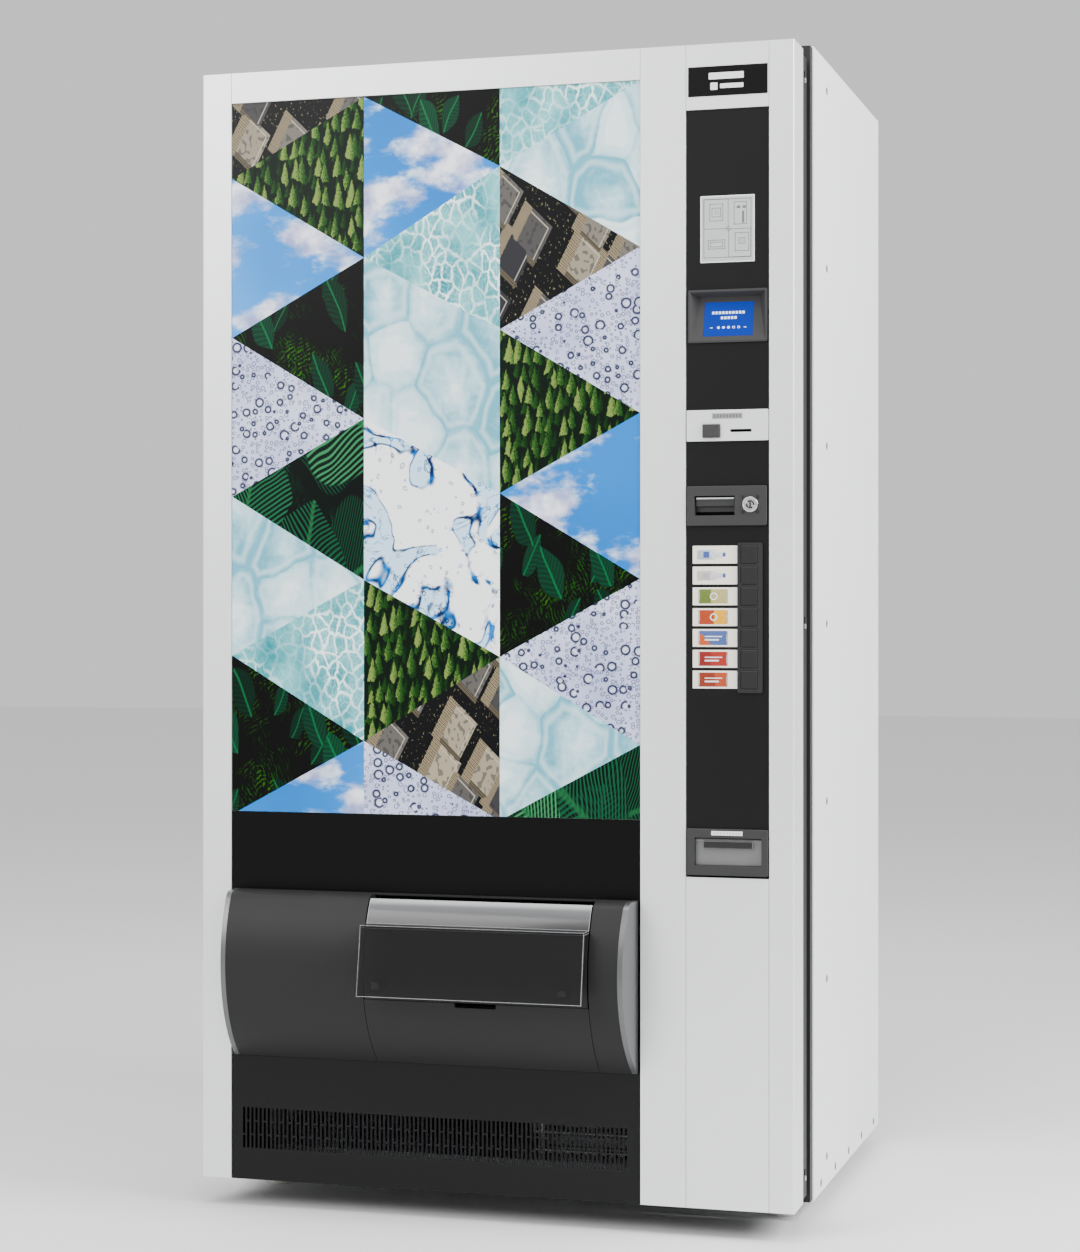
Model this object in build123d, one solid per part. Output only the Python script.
from build123d import *
import os
from math import atan, cos, sqrt

# A refrigerated can and bottle vending machine with a full front door.
# Modelling frame: X to the right as seen from the front, Y to the back from the
# front face of the door, Z up from the floor, in millimetres. At export every
# piece moves by ORIGIN_SHIFT, so that the origin is under the middle of the box.

# ---- driving dimensions -------------------------------------------------------
WIDTH = 960.0                # cabinet and door, side to side
HEIGHT = 1830.0              # floor to the top panel
DEPTH = 811.5                # front face of the door to the back of the rear panel
FOOT_HEIGHT = 30.0           # floor to the underside of the cabinet
SHEET = 1.5                  # cabinet and door sheet steel
REVEAL = 0.7                 # gap between neighbouring front panels
RUNNING_FIT = 0.05           # radial clearance of a shaft or pin in its hole
MOVING_GAP = 0.4             # clearance beside a flap, button or paddle

# door
DOOR_GAP_BOTTOM = 15.0       # cabinet underside to the door's lower edge
DOOR_GAP_TOP = 22.0          # door's upper edge to the cabinet top
SKIRT_DEPTH = 72.0           # depth of the bright outer returns
DOOR_DEPTH = 136.0           # front face to the back of the door pan
PAN_INSET = 6.0              # pan side inside the bright return's outer face
CABINET_SETBACK = 161.5      # front face of the door to the cabinet's front edge
CHANNEL_GAP = 7.0            # back of the door pan to the dark front channel
PROFILE_WALL = 2.5           # wall of the extruded columns and rail
PROFILE_LIP = 20.0           # inner lip of the extrusions
PROFILE_RADIUS = 3.0         # outer vertical corners
LEFT_COLUMN = 50.0           # face widths across the front
RIGHT_COLUMN = 38.5
CENTRE_COLUMN = 71.5
PAYMENT_WIDTH = 128.0
RAIL_HEIGHT = 48.0
PANEL_SETBACK = 2.0          # poster, band and kick panel behind the front face
POSTER_THICKNESS = 4.0
BAND_HEIGHT = 123.0          # dark band between hatch and poster
FASCIA_SETBACK = 1.5
FASCIA_THICKNESS = 4.0

# payment column: distances down from the door's upper edge
BADGE_PLATE_BOTTOM = 99.0
BADGE_TOP, BADGE_BOTTOM = 34.0, 79.0
NOTICE_TOP, NOTICE_BOTTOM = 230.0, 331.0
DISPLAY_TOP, DISPLAY_BOTTOM = 372.0, 452.0
COIN_PLATE_TOP, COIN_PLATE_BOTTOM = 554.0, 601.0
COIN_SLOT_DOWN = 585.7
LOCK_TOP, LOCK_BOTTOM = 669.0, 729.0
LOCK_DOWN = 697.4
SELECTION_TOP, SELECTION_BOTTOM = 755.0, 981.5
FIRST_BUTTON_DOWN = 772.8
FASCIA_BOTTOM = 1187.0
COIN_CUP_TOP, COIN_CUP_BOTTOM = 1187.5, 1258.0
SERVICE_TOP = 1261.0
SELECTIONS = 7               # products, buttons, columns and rotors
BUTTON_PITCH = 31.5
BUTTON_WIDTH, BUTTON_HEIGHT = 25.2, 27.0

# delivery hatch
HATCH_TOP_UP = 463.0         # door's lower edge to the hatch top
HATCH_RADIUS = 200.0
HATCH_PROUD = 72.0
HATCH_CREST = 111.0          # hatch top to the height of the arc's centre
HATCH_ROUND = 20.0           # rounded top edge, concentric with the flap pivot
HATCH_WALL = 3.0
HATCH_SIDE = 6.0             # end cap to the side of its bay, at the door face
CAP_THICKNESS = 8.0
CAP_DRAFT = 0.08             # inward lean of the end caps per mm of depth
FLAP_WIDTH = 360.5
FLAP_OFFSET = 59.0           # right seam of the flap to the end of the hatch
FLAP_BOTTOM_DOWN = 158.0     # hatch top to the flap's lower edge
WINDOW_TOP_DOWN = 5.0
LEDGE_DOWN = 41.0
LID_BOTTOM_DOWN = 148.0
LID_PROUD_TOP = 88.0
LID_PROUD_BOTTOM = 106.0
LID_WALL = 4.0
FLAP_PIN = 4.0               # radius

# kick panel grille
GRILLE_COLUMNS = 90
GRILLE_PITCH = 7.056
GRILLE_SLOT = 4.2
GRILLE_BAR = 2.5
GRILLE_BOTTOM_UP, GRILLE_TOP_UP = 50.0, 114.5
GRILLE_LEFT_IN = 19.0        # left edge of the bay to the first slot

# hinges
DOOR_PIVOT_IN = 18.0         # hinge pin from the cabinet's left side
DOOR_PIVOT_Y = 122.0
DOOR_PIN = 6.0
INNER_PIVOT_IN = 36.0
INNER_PIVOT_Y = 171.0
INNER_PIN = 4.0
HINGE_ARM = 6.0

# cabinet
CELL_WALL = 45.0             # insulated cell
CELL_SIDE_GAP = 3.0          # cell to the cabinet's outer side
CELL_FRONT = 212.0
CELL_BACK_GAP = 11.5         # cell to the back of the cabinet
CELL_FLOOR = 375.0
CELL_TOP_GAP = 8.0
INNER_DOOR_FRONT = 165.0
INNER_DOOR_BACK = 205.0
COLUMN_PITCH = 122.3
COLUMN_SHEET = 2.0
ROTOR_RADIUS = 36.0
ROTOR_SHAFT = 5.0
ROTOR_Z = 655.0
FOOT_RADIUS = 28.0
FOOT_PAD = 8.0
FOOT_STEM = 6.0
SCREW_RADIUS = 6.5
SCREW_CLEARANCE = 0.2
INLET_WIDTH, INLET_HEIGHT = 48.0, 28.0

# payment column: distances right of its left edge, as pairs of edges
DISPLAY_X = (3.5, PAYMENT_WIDTH - 2.5)
COIN_PLATE_X = (1.2, PAYMENT_WIDTH - 0.8)
COIN_SLOT_X = (68.5, 101.5)
COIN_BUTTON_X = (26.5, 53.0)
LOCK_X = (1.5, PAYMENT_WIDTH - 3.0)
RECESS_X = (13.8, 75.8)
SELECTION_X = (80.0, 118.3)
BUTTON_LEFT = 85.3
CARD_X = (10.4, 79.2)
COIN_CUP_X = (1.0, PAYMENT_WIDTH - 1.0)
COIN_OPENING_X = (14.0, PAYMENT_WIDTH - 11.0)
PLUG_X = 99.9                # middle of the key cylinder
CHUTE_X = 85.0               # middle of the coin chute

# payment column: further sizes
RECESS_TOP, RECESS_BOTTOM = 684.0, 713.5
COIN_OPENING_TOP, COIN_OPENING_BOTTOM = 1201.0, 1243.0
COIN_BUTTON_HALF = 9.9
PLUG_RADIUS = 11.7
MODULE_PROUD = 3.0           # display, lock and coin cup bezels in front of the fascia's back
DISPLAY_DEPTH = 24.0
SCREEN_SIZE = (76.0, 54.0)
SCREEN_Y = (2.0, 17.0)       # depth of the recess floor at its lower and upper ends
PADDLE_Y = 6.0               # paddle pivot behind the door face
PADDLE_DOWN = 6.0            # and below the top of its recess
PADDLE_PIN = 1.5             # radius
PADDLE_GAP = 1.0
LABEL = 0.6                  # thickness of cards and plates
COIN_FLAP_Y = 5.0            # pivot behind the door face
COIN_FLAP_PIN = 1.5          # radius
COIN_CUP_BACK = 55.0
CHUTE_HALF = 9.0

# delivery flap
FLAP_INSET = 0.5             # flap surface inside the fixed shells' surface
CHEEK_INSET = 2.0            # side gap between the flap and the fixed shells
CHEEK_TOP_DOWN = 8.0

LEDGE_LAP = 14.0             # ledge and pads reach this far behind the hatch's crest
LID_PAD_IN = 30.0            # clip pads in from the flap's sides
BIN_LIP_IN = 22.0            # bin lip behind the hatch's crest

# lock bar
STUD_TOP_DOWN = 39.0         # door's upper edge to the highest stud
STUD_BOTTOM_UP = 30.0        # door's lower edge to the lowest stud
STUD_Y = 118.0
STUD_RADIUS = 4.0
LOCK_BAR_TRAVEL = 10.0
KEEPER_HALF = 20.0
KEEPER_SHEET = 3.0
KEEPER_IN = 17.0             # keeper plate inside the pan's side

# cabinet fixings and base
SCREW_DEPTH = 281.0
SCREW_ROWS = 7
SCREW_FIRST_UP = 47.0        # cabinet underside to the lowest side screw
SCREW_LAST_DOWN = 47.0       # cabinet top to the highest side screw
FOOT_ROW_UP = 15.0           # row of screws along the foot of each side
FOOT_ROW_FIRST = 228.0
FOOT_ROW_LAST_IN = 56.5      # last of the row to the cabinet's back
FOOT_ROW_SCREWS = 5
FOOT_IN = 55.0               # foot centre to the cabinet's side
FOOT_FRONT_IN, FOOT_BACK_IN = 40.0, 45.0
VENT_X = (60.0, 380.0)
INLET_X = -330.0
INLET_Z = 120.0
FLOOR_THICKNESS = 3.0

# cooled space
EXIT_HALF = 190.0            # half width of the product exit
ROTOR_DISC = 4.0
MOTOR_HALF = 26.0
FAN_SHAFT = 4.0              # radius
EVAPORATOR_X = 150.0         # half width
EVAPORATOR_FAN_RADIUS = 42.0
CONDENSER_X = (30.0, 330.0)
CONDENSER_FAN_RADIUS = 100.0

# ---- places worked out from the driving dimensions ------------------------------
HALF = WIDTH / 2
DOOR_BOTTOM = FOOT_HEIGHT + DOOR_GAP_BOTTOM
DOOR_TOP = HEIGHT - DOOR_GAP_TOP
BAY_LEFT = -HALF + LEFT_COLUMN
PAY_RIGHT = HALF - RIGHT_COLUMN
PAY_LEFT = PAY_RIGHT - PAYMENT_WIDTH
BAY_RIGHT = PAY_LEFT - CENTRE_COLUMN
EDGE = REVEAL / 2
RAIL_BOTTOM = DOOR_TOP - RAIL_HEIGHT
HATCH_TOP = DOOR_BOTTOM + HATCH_TOP_UP
BAND_TOP = HATCH_TOP + BAND_HEIGHT
ARC_Y = HATCH_RADIUS - HATCH_PROUD
ARC_Z = HATCH_TOP - HATCH_CREST
HATCH_BOTTOM = ARC_Z - sqrt(HATCH_RADIUS**2 - ARC_Y**2)
HATCH_BACK = PANEL_SETBACK + SHEET
HATCH_LEFT = BAY_LEFT + HATCH_SIDE
HATCH_RIGHT = BAY_RIGHT - HATCH_SIDE + 2.0
FLAP_PIVOT_Z = HATCH_TOP - HATCH_ROUND
FLAP_PIVOT_Y = ARC_Y - sqrt((HATCH_RADIUS - HATCH_ROUND) ** 2 - (FLAP_PIVOT_Z - ARC_Z) ** 2)
FLAP_RIGHT = HATCH_RIGHT - FLAP_OFFSET
FLAP_LEFT = FLAP_RIGHT - FLAP_WIDTH
FLAP_MIDDLE = (FLAP_LEFT + FLAP_RIGHT) / 2
FLAP_BOTTOM = HATCH_TOP - FLAP_BOTTOM_DOWN + REVEAL
PAN_SIDE = HALF - PAN_INSET
PAN_BACK = DOOR_DEPTH - SHEET
BIN_HALF = FLAP_WIDTH / 2 - 15.0
PASSAGE_BOTTOM, PASSAGE_TOP = HATCH_TOP - 106.0, HATCH_TOP - 3.0
CHANNEL_FRONT = DOOR_DEPTH + CHANNEL_GAP
SHELL_IN = HALF - SHEET
SHELL_BACK = DEPTH - SHEET
DOOR_PIVOT_X = -HALF + DOOR_PIVOT_IN
INNER_PIVOT_X = -HALF + INNER_PIVOT_IN
CELL_HALF = HALF - CELL_SIDE_GAP
CAVITY_HALF = CELL_HALF - CELL_WALL
CELL_BACK = DEPTH - CELL_BACK_GAP
CAVITY_BACK = CELL_BACK - CELL_WALL
CELL_TOP = HEIGHT - CELL_TOP_GAP
CAVITY_BOTTOM = CELL_FLOOR + CELL_WALL
CAVITY_TOP = CELL_TOP - CELL_WALL
STUD_HEIGHTS = [DOOR_TOP - STUD_TOP_DOWN, (DOOR_BOTTOM + DOOR_TOP) / 2, DOOR_BOTTOM + STUD_BOTTOM_UP]
BUTTON_X = (BUTTON_LEFT, BUTTON_LEFT + BUTTON_WIDTH)
FASCIA_BACK = FASCIA_SETBACK + FASCIA_THICKNESS
FLOOR_TOP = FOOT_HEIGHT + FLOOR_THICKNESS
FOOT_X = HALF - FOOT_IN
FOOT_Y = (CABINET_SETBACK + FOOT_FRONT_IN, DEPTH - FOOT_BACK_IN)
INNER_DOOR_HALF = CAVITY_HALF + 18.0
INNER_DOOR_BOTTOM = CELL_FLOOR + 7.0
INNER_DOOR_TOP = CELL_TOP - 27.0
EXIT_BOTTOM, EXIT_TOP = CAVITY_BOTTOM + 5.0, CAVITY_BOTTOM + 135.0
GASKET_INNER, GASKET_OUTER = CAVITY_HALF + 2.0, CAVITY_HALF + 14.0
COLUMN_FRONT, COLUMN_BACK = CELL_FRONT + 13.0, CAVITY_BACK - 10.0
COLUMN_BOTTOM, COLUMN_TOP = ROTOR_Z + 45.0, CAVITY_TOP - 7.0
ROTOR_FRONT, ROTOR_BACK = CELL_FRONT + 48.0, CAVITY_BACK - 30.0
MOTOR_FRONT, MOTOR_BACK = CELL_FRONT + 4.0, CELL_FRONT + 32.0
PLATE_FRONT = CAVITY_BACK - 20.0
EVAPORATOR_Y = (CAVITY_BACK - 95.0, CAVITY_BACK - 15.0)
EVAPORATOR_Z = (CAVITY_BOTTOM, CAVITY_BOTTOM + 110.0)
CONDENSER_Y = (CABINET_SETBACK + 28.0, CABINET_SETBACK + 68.0)
CONDENSER_TOP = CELL_FLOOR - 45.0
ORIGIN_SHIFT = (LID_PROUD_BOTTOM - DEPTH) / 2

LOW = (Align.CENTER, Align.CENTER, Align.MIN)


# ---- helpers ----------------------------------------------------------------
def down(distance):
    """Height of a line given as a distance down from the door's upper edge."""
    return DOOR_TOP - distance


def block(x0, x1, y0, y1, z0, z1):
    """A box between two opposite corners."""
    return Pos((x0 + x1) / 2, (y0 + y1) / 2, (z0 + z1) / 2) * Box(x1 - x0, y1 - y0, z1 - z0)


def rod_x(x0, x1, y, z, radius):
    """A round bar along X."""
    return Pos(x0, y, z) * Rot(0, 90, 0) * Cylinder(radius, x1 - x0, align=LOW)


def rod_y(y0, y1, x, z, radius):
    """A round bar along Y."""
    return Pos(x, y0, z) * Rot(-90, 0, 0) * Cylinder(radius, y1 - y0, align=LOW)


def rod_z(z0, z1, x, y, radius):
    """A round bar along Z."""
    return Pos(x, y, z0) * Cylinder(radius, z1 - z0, align=LOW)


def prism_x(outline, x0, x1):
    """An outline of (y, z) points, from x0 to x1."""
    face = Plane.YZ.offset(x0) * make_face(Polyline(*outline, close=True))
    return extrude(face, x1 - x0, dir=(1, 0, 0))


def prism_z(outline, z0, z1):
    """An outline of (x, y) points, from z0 to z1."""
    face = Pos(0, 0, z0) * make_face(Polyline(*outline, close=True))
    return extrude(face, z1 - z0, dir=(0, 0, 1))


def rounded_plate(x0, x1, y0, y1, z0, z1, radius):
    """A plate facing Y, with rounded corners."""
    face = Plane.XZ.offset(-y0) * Pos((x0 + x1) / 2, (z0 + z1) / 2) * RectangleRounded(x1 - x0, z1 - z0,
                                                                                       radius)
    return extrude(face, y1 - y0, dir=(0, 1, 0))


def pay_x(offset):
    """X of a line given as a distance from the left edge of the payment column."""
    return PAY_LEFT + offset


def button_height(index):
    """Height of a selection button's middle, counted from the top."""
    return down(FIRST_BUTTON_DOWN + index * BUTTON_PITCH)


# ---- door: bright frame -------------------------------------------------------
def column_profile(outer, inner):
    """Plan of an outer column: front wall, deep outer return, short inner lip."""
    side = 1 if outer > inner else -1
    wall = side * PROFILE_WALL
    outline = [(outer, 0), (outer, SKIRT_DEPTH), (outer - wall, SKIRT_DEPTH), (outer - wall, PROFILE_WALL),
               (inner + wall, PROFILE_WALL), (inner + wall, PROFILE_LIP), (inner, PROFILE_LIP), (inner, 0)]
    face = make_face(Polyline(*outline, close=True))
    corner = face.vertices().sort_by_distance((outer, 0, 0))[0]
    return fillet(corner, PROFILE_RADIUS)


def top_return_space():
    """Room for the top rail's return behind the front walls."""
    return block(-HALF + PROFILE_WALL, HALF - PROFILE_WALL, PROFILE_WALL, SKIRT_DEPTH + 1,
                 DOOR_TOP - PROFILE_WALL, DOOR_TOP + 1)


def pan_wall_spaces():
    """Room for the upper and lower walls of the pan behind the front walls."""
    return [block(-PAN_SIDE, PAN_SIDE, PROFILE_WALL, DOOR_DEPTH, DOOR_BOTTOM - 1, DOOR_BOTTOM + SHEET),
            block(-PAN_SIDE, PAN_SIDE, PROFILE_WALL, DOOR_DEPTH, DOOR_TOP - PROFILE_WALL - SHEET, DOOR_TOP)]


def outer_column(outer, inner):
    """One outer column of the door, with its front wall the full height."""
    column = extrude(Pos(0, 0, DOOR_BOTTOM) * column_profile(outer, inner), DOOR_TOP - DOOR_BOTTOM)
    return column - ([top_return_space()] + pan_wall_spaces())


def left_column():
    return outer_column(-HALF, BAY_LEFT - EDGE)


def right_column():
    return outer_column(HALF, PAY_RIGHT + EDGE)


def centre_column():
    """The flat mullion between the poster and the payment column."""
    left, right = BAY_RIGHT + EDGE, PAY_LEFT - EDGE
    column = block(left, right, 0, PROFILE_WALL, DOOR_BOTTOM, DOOR_TOP)
    for lip in (left, right - PROFILE_WALL):
        column += block(lip, lip + PROFILE_WALL, PROFILE_WALL, PROFILE_LIP, DOOR_BOTTOM + SHEET,
                        DOOR_TOP - PROFILE_WALL - SHEET)
    return column


def top_rail():
    """The rail above the poster, with the return that closes the door's top."""
    rail = block(BAY_LEFT + EDGE, BAY_RIGHT - EDGE, 0, PROFILE_WALL, RAIL_BOTTOM, DOOR_TOP)
    rail += block(BAY_LEFT + EDGE, BAY_RIGHT - EDGE, PROFILE_WALL, PROFILE_LIP, RAIL_BOTTOM,
                  RAIL_BOTTOM + PROFILE_WALL)
    return rail + block(-HALF + PROFILE_WALL, HALF - PROFILE_WALL, PROFILE_WALL, SKIRT_DEPTH,
                        DOOR_TOP - PROFILE_WALL, DOOR_TOP)


def column_cover(z0, z1, end_room):
    """A bright cover plate of the payment column, with folded side lips."""
    left, right = PAY_LEFT + EDGE, PAY_RIGHT - EDGE
    plate = block(left, right, 0, SHEET, z0, z1)
    lip_depth = PROFILE_LIP - 5
    for lip in (left, right - SHEET):
        plate += block(lip, lip + SHEET, SHEET, lip_depth, z0 + end_room, z1 - end_room)
    return plate


def column_covers():
    """Badge plate at the top and service panel at the bottom of the column."""
    end_room = PROFILE_WALL + SHEET
    badge = column_cover(down(BADGE_PLATE_BOTTOM) + EDGE, DOOR_TOP, end_room)
    service = column_cover(DOOR_BOTTOM, down(SERVICE_TOP) - EDGE, end_room)
    return [badge, service]


def poster_window():
    """Clear sheet over the illuminated poster."""
    return block(BAY_LEFT + EDGE, BAY_RIGHT - EDGE, PANEL_SETBACK, PANEL_SETBACK + POSTER_THICKNESS,
                 BAND_TOP + EDGE, RAIL_BOTTOM - EDGE)


# ---- door: pan ----------------------------------------------------------------


def door_pan():
    """The folded steel pan: back sheet with its openings, four walls and hinge bosses."""
    outer = block(-PAN_SIDE, PAN_SIDE, PROFILE_WALL, DOOR_DEPTH, DOOR_BOTTOM, DOOR_TOP - PROFILE_WALL)
    inner = block(-PAN_SIDE + SHEET, PAN_SIDE - SHEET, 0, PAN_BACK, DOOR_BOTTOM + SHEET,
                  DOOR_TOP - PROFILE_WALL - SHEET)
    front_room = block(-PAN_SIDE + SHEET, PAN_SIDE - SHEET, 0, HATCH_BACK, DOOR_BOTTOM - 1,
                       DOOR_BOTTOM + SHEET + 1)
    pan = outer - inner - front_room
    pan -= block(FLAP_MIDDLE - BIN_HALF, FLAP_MIDDLE + BIN_HALF, PAN_BACK - 1, DOOR_DEPTH + 1,
                 PASSAGE_BOTTOM, PASSAGE_TOP)
    pan -= block(PAY_LEFT - 12, PAN_SIDE - 20, PAN_BACK - 1, DOOR_DEPTH + 1, down(SERVICE_TOP) + 60,
                 RAIL_BOTTOM - 15)
    pan -= block(-PAN_SIDE + 54, PAN_SIDE - 54, PAN_BACK - 1, DOOR_DEPTH + 1, DOOR_BOTTOM + 15,
                 HATCH_BOTTOM - 42)
    boss_length = 20.0
    for z0 in (DOOR_BOTTOM + SHEET, DOOR_TOP - PROFILE_WALL - SHEET - boss_length):
        pan += rod_z(z0, z0 + boss_length, DOOR_PIVOT_X, DOOR_PIVOT_Y, DOOR_PIN + 5)
    pan -= rod_z(DOOR_BOTTOM - 1, DOOR_TOP, DOOR_PIVOT_X, DOOR_PIVOT_Y, DOOR_PIN + RUNNING_FIT)
    for z in STUD_HEIGHTS:
        pan -= block(PAN_SIDE - SHEET - 1, PAN_SIDE + 1, STUD_Y - STUD_RADIUS - MOVING_GAP / 2,
                     STUD_Y + STUD_RADIUS + MOVING_GAP / 2, z - STUD_RADIUS - MOVING_GAP,
                     z + STUD_RADIUS + LOCK_BAR_TRAVEL + MOVING_GAP)
        pan -= block(PAN_SIDE - 21, PAN_SIDE - 9, PAN_BACK - 1, DOOR_DEPTH + 1, z - KEEPER_HALF - 2,
                     z + KEEPER_HALF + 2)
    return pan


# ---- door: kick panel and hatch -------------------------------------------------
def kick_panel():
    """Dark plate below the hatch, slotted for the condenser's air."""
    panel = block(BAY_LEFT + EDGE, BAY_RIGHT - EDGE, PANEL_SETBACK, HATCH_BACK, DOOR_BOTTOM,
                  HATCH_BOTTOM - EDGE)
    bottom, top = DOOR_BOTTOM + GRILLE_BOTTOM_UP, DOOR_BOTTOM + GRILLE_TOP_UP
    slots = []
    for index in range(GRILLE_COLUMNS):
        x0 = BAY_LEFT + GRILLE_LEFT_IN + index * GRILLE_PITCH
        bar = bottom + (top - bottom) * (1 + index % 2) / 3
        for z0, z1 in ((bottom, bar - GRILLE_BAR / 2), (bar + GRILLE_BAR / 2, top)):
            slots.append(block(x0, x0 + GRILLE_SLOT, PANEL_SETBACK - 1, HATCH_BACK + 1, z0, z1))
    return panel - slots


def hatch_solid(inset, x0, x1, low=HATCH_BOTTOM, back=HATCH_BACK):
    """The hatch's outer form, drawn in by an inset: an arc with a rounded top edge."""
    top = HATCH_TOP - inset
    face = Pos(ARC_Y, ARC_Z) * Circle(HATCH_RADIUS - inset)
    face &= Pos(back - HATCH_RADIUS, (low + top) / 2) * Rectangle(2 * HATCH_RADIUS, top - low)
    corner = face.vertices().sort_by(Axis.Y)[-2:].sort_by(Axis.X)[0]
    face = fillet(corner, HATCH_ROUND - inset)
    return extrude(Plane.YZ.offset(x0) * face, x1 - x0, dir=(1, 0, 0))


def hatch_hollow(inset, x0, x1):
    """The space inside the hatch, open to the back and below."""
    return hatch_solid(inset, x0 - 1, x1 + 1, low=HATCH_BOTTOM - 1, back=HATCH_BACK + 1)


def cap_slab(base, lean, first, last):
    """Everything between two leaning planes beside the hatch's end at x = base."""
    deep, back = HATCH_PROUD + 10, HATCH_BACK + 1
    outline = [(base + lean * first - lean * CAP_DRAFT * back, back),
               (base + lean * first + lean * CAP_DRAFT * deep, -deep),
               (base + lean * last + lean * CAP_DRAFT * deep, -deep),
               (base + lean * last - lean * CAP_DRAFT * back, back)]
    return prism_z(outline, HATCH_BOTTOM - 5, HATCH_TOP + 5)


def hatch_end_caps():
    """Bright leaning cheeks at both ends of the hatch."""
    body = hatch_solid(0, HATCH_LEFT - 5, HATCH_RIGHT + 5)
    return [body & cap_slab(HATCH_LEFT, 1, 0, CAP_THICKNESS),
            body & cap_slab(HATCH_RIGHT, -1, 0, CAP_THICKNESS)]


def hatch_side_shell(x0, x1, end, lean, wall_x):
    """A fixed section of the hatch between an end cap and the flap, with a flap pivot pin."""
    shell = hatch_solid(0, x0, x1) - hatch_hollow(HATCH_WALL, x0, x1)
    shell += hatch_solid(HATCH_WALL / 2, wall_x, wall_x + HATCH_WALL)
    shell -= cap_slab(end, lean, -20, CAP_THICKNESS)
    return shell


def hatch_shells():
    """Dark fixed sections: left, right, the shell below the flap, and the rim above it."""
    seam = REVEAL / 2 + 0.1
    left = hatch_side_shell(HATCH_LEFT - 5, FLAP_LEFT - seam, HATCH_LEFT, 1, FLAP_LEFT - seam - HATCH_WALL)
    left += rod_x(FLAP_LEFT - seam - 1, FLAP_LEFT + CHEEK_INSET + HATCH_WALL, FLAP_PIVOT_Y, FLAP_PIVOT_Z,
                  FLAP_PIN)
    right = hatch_side_shell(FLAP_RIGHT + seam, HATCH_RIGHT + 5, HATCH_RIGHT, -1, FLAP_RIGHT + seam)
    right += rod_x(FLAP_RIGHT - CHEEK_INSET - HATCH_WALL, FLAP_RIGHT + seam + 1, FLAP_PIVOT_Y,
                   FLAP_PIVOT_Z, FLAP_PIN)
    x0, x1 = FLAP_LEFT + seam, FLAP_RIGHT - seam
    lower = hatch_solid(0, x0, x1) - hatch_hollow(HATCH_WALL, x0, x1)
    lower &= block(x0, x1, -HATCH_PROUD - 1, HATCH_BACK, HATCH_BOTTOM - 1, FLAP_BOTTOM - REVEAL)
    notch_half, notch_depth = 33.0, 7.0
    lower -= block(FLAP_MIDDLE - notch_half, FLAP_MIDDLE + notch_half, -HATCH_PROUD - 1, HATCH_BACK,
                   FLAP_BOTTOM - REVEAL - notch_depth, FLAP_BOTTOM)
    rim = block(x0, x1, -12, HATCH_BACK, HATCH_TOP - 2.5, HATCH_TOP)
    return [left, right, lower, rim]


def flap_shell():
    """Curved lower part of the flap with a cheek at each end, bored for the pivot pins."""
    x0, x1 = FLAP_LEFT + CHEEK_INSET, FLAP_RIGHT - CHEEK_INSET
    skin_back = 40.0
    skin_top = HATCH_TOP - LEDGE_DOWN - LID_WALL - 0.2
    shell = hatch_solid(FLAP_INSET, x0, x1) - hatch_hollow(FLAP_INSET + HATCH_WALL, x0, x1)
    shell &= block(x0, x1, -HATCH_PROUD, -skin_back, FLAP_BOTTOM, skin_top)
    cheek_form = hatch_solid(FLAP_INSET + HATCH_WALL + 0.1, x0, x1)
    cheek_form += hatch_solid(FLAP_INSET + HATCH_WALL / 2, x0, x1) & block(x0, x1, -100, 0, FLAP_BOTTOM,
                                                                           skin_top)
    for cheek in (x0, x1 - HATCH_WALL):
        shell += cheek_form & block(cheek, cheek + HATCH_WALL, -100, FLAP_PIVOT_Y + 10, FLAP_BOTTOM + 1,
                                    HATCH_TOP - CHEEK_TOP_DOWN)
    bore = rod_x(x0 - 1, x1 + 1, FLAP_PIVOT_Y, FLAP_PIVOT_Z, FLAP_PIN + RUNNING_FIT)
    return shell - bore


def flap_lid():
    """Clear moulding: a curved window at the top, a ledge, and the raised front plate."""
    x0, x1 = FLAP_LEFT + CHEEK_INSET, FLAP_RIGHT - CHEEK_INSET
    top, ledge = HATCH_TOP - WINDOW_TOP_DOWN, HATCH_TOP - LEDGE_DOWN
    window = hatch_solid(FLAP_INSET, x0, x1) - hatch_hollow(FLAP_INSET + HATCH_WALL, x0, x1)
    window &= block(x0, x1, -HATCH_PROUD, FLAP_PIVOT_Y, ledge - LID_WALL, top)
    step = block(x0, x1, -LID_PROUD_TOP, -HATCH_PROUD + LEDGE_LAP, ledge - LID_WALL, ledge)
    bottom = HATCH_TOP - LID_BOTTOM_DOWN
    plate = prism_x([(-LID_PROUD_TOP, ledge), (-LID_PROUD_BOTTOM, bottom),
                     (-LID_PROUD_BOTTOM + LID_WALL, bottom),
                     (-LID_PROUD_TOP + LID_WALL, ledge)], x0, x1)
    pad_half, pad_height, pad_up = 6.0, 14.0, 8.0
    pads = []
    for x in (x0 + LID_PAD_IN, x1 - LID_PAD_IN):
        pad = block(x - pad_half, x + pad_half, -LID_PROUD_BOTTOM + LID_WALL / 2, -HATCH_PROUD + LEDGE_LAP,
                    bottom + pad_up, bottom + pad_up + pad_height)
        pads.append(pad - hatch_solid(FLAP_INSET, x - 20, x + 20))
    plate_side = block(x0, x1, -LID_PROUD_BOTTOM - 1, 0, bottom, ledge)
    lid = window + step + plate
    for pad in pads:
        lid += pad & plate_side
    return lid


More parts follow.
